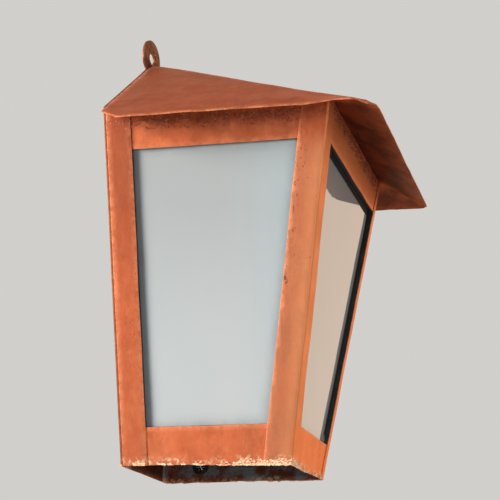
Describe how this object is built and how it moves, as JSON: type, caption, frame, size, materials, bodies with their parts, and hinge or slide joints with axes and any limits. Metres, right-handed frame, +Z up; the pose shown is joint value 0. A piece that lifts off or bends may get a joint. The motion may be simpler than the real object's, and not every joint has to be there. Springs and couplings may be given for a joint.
{
  "type": "wall lantern",
  "caption": "Tapered copper wall lantern with a flat back, opal panes, a hipped half-pyramid roof, an open bottom and a hanging eye.",
  "frame": {"origin": "on the wall plane, at the middle of the back plate's lower edge", "axes": "+Z up, -Y out of the wall towards the room, +X to the right for someone facing the lantern"},
  "size_m": [0.2834, 0.1949, 0.3312],
  "materials": {
    "roof_copper": "aged copper sheet, brown patina",
    "frame_copper": "aged copper strip, worn bright along the edges",
    "plate_copper": "aged copper sheet, darkened",
    "seal_black": "black glazing compound, matt",
    "opal_glass": "opal white glass, polished",
    "clip_steel": "dark steel strip",
    "bracket_brass": "plain brass strip",
    "holder_porcelain": "glazed porcelain",
    "fitting_brass": "turned brass",
    "screw_steel": "zinc plated steel",
    "bulb_glass": "frosted white glass",
    "block_ceramic": "unglazed porcelain",
    "grommet_rubber": "black rubber"
  },
  "bodies": {
    "root": {"roof": "roof_copper", "back_plate": "plate_copper", "back_left_post": "frame_copper", "back_right_post": "frame_copper", "front_left_post": "frame_copper", "front_right_post": "frame_copper", "left_top_rail": "frame_copper", "left_bottom_rail": "frame_copper", "left_glass_seal": "seal_black", "left_glass_pane": "opal_glass", "left_glass_clips": "clip_steel", "right_top_rail": "frame_copper", "right_bottom_rail": "frame_copper", "right_glass_seal": "seal_black", "right_glass_pane": "opal_glass", "right_glass_clips": "clip_steel", "front_top_rail": "frame_copper", "front_bottom_rail": "frame_copper", "front_glass_seal": "seal_black", "front_glass_pane": "opal_glass", "front_glass_clips": "clip_steel", "lamp_bracket": "bracket_brass", "bracket_rivets": "fitting_brass", "lamp_holder": "holder_porcelain", "screw_shell": "fitting_brass", "centre_contact": "fitting_brass", "threaded_nipple": "fitting_brass", "lock_nut": "fitting_brass", "bulb": "bulb_glass", "terminal_block": "block_ceramic", "terminal_screws": "screw_steel", "block_screw": "screw_steel", "earth_screw": "fitting_brass", "earth_washer": "fitting_brass", "cable_grommet": "grommet_rubber"}
  },
  "joints": []
}
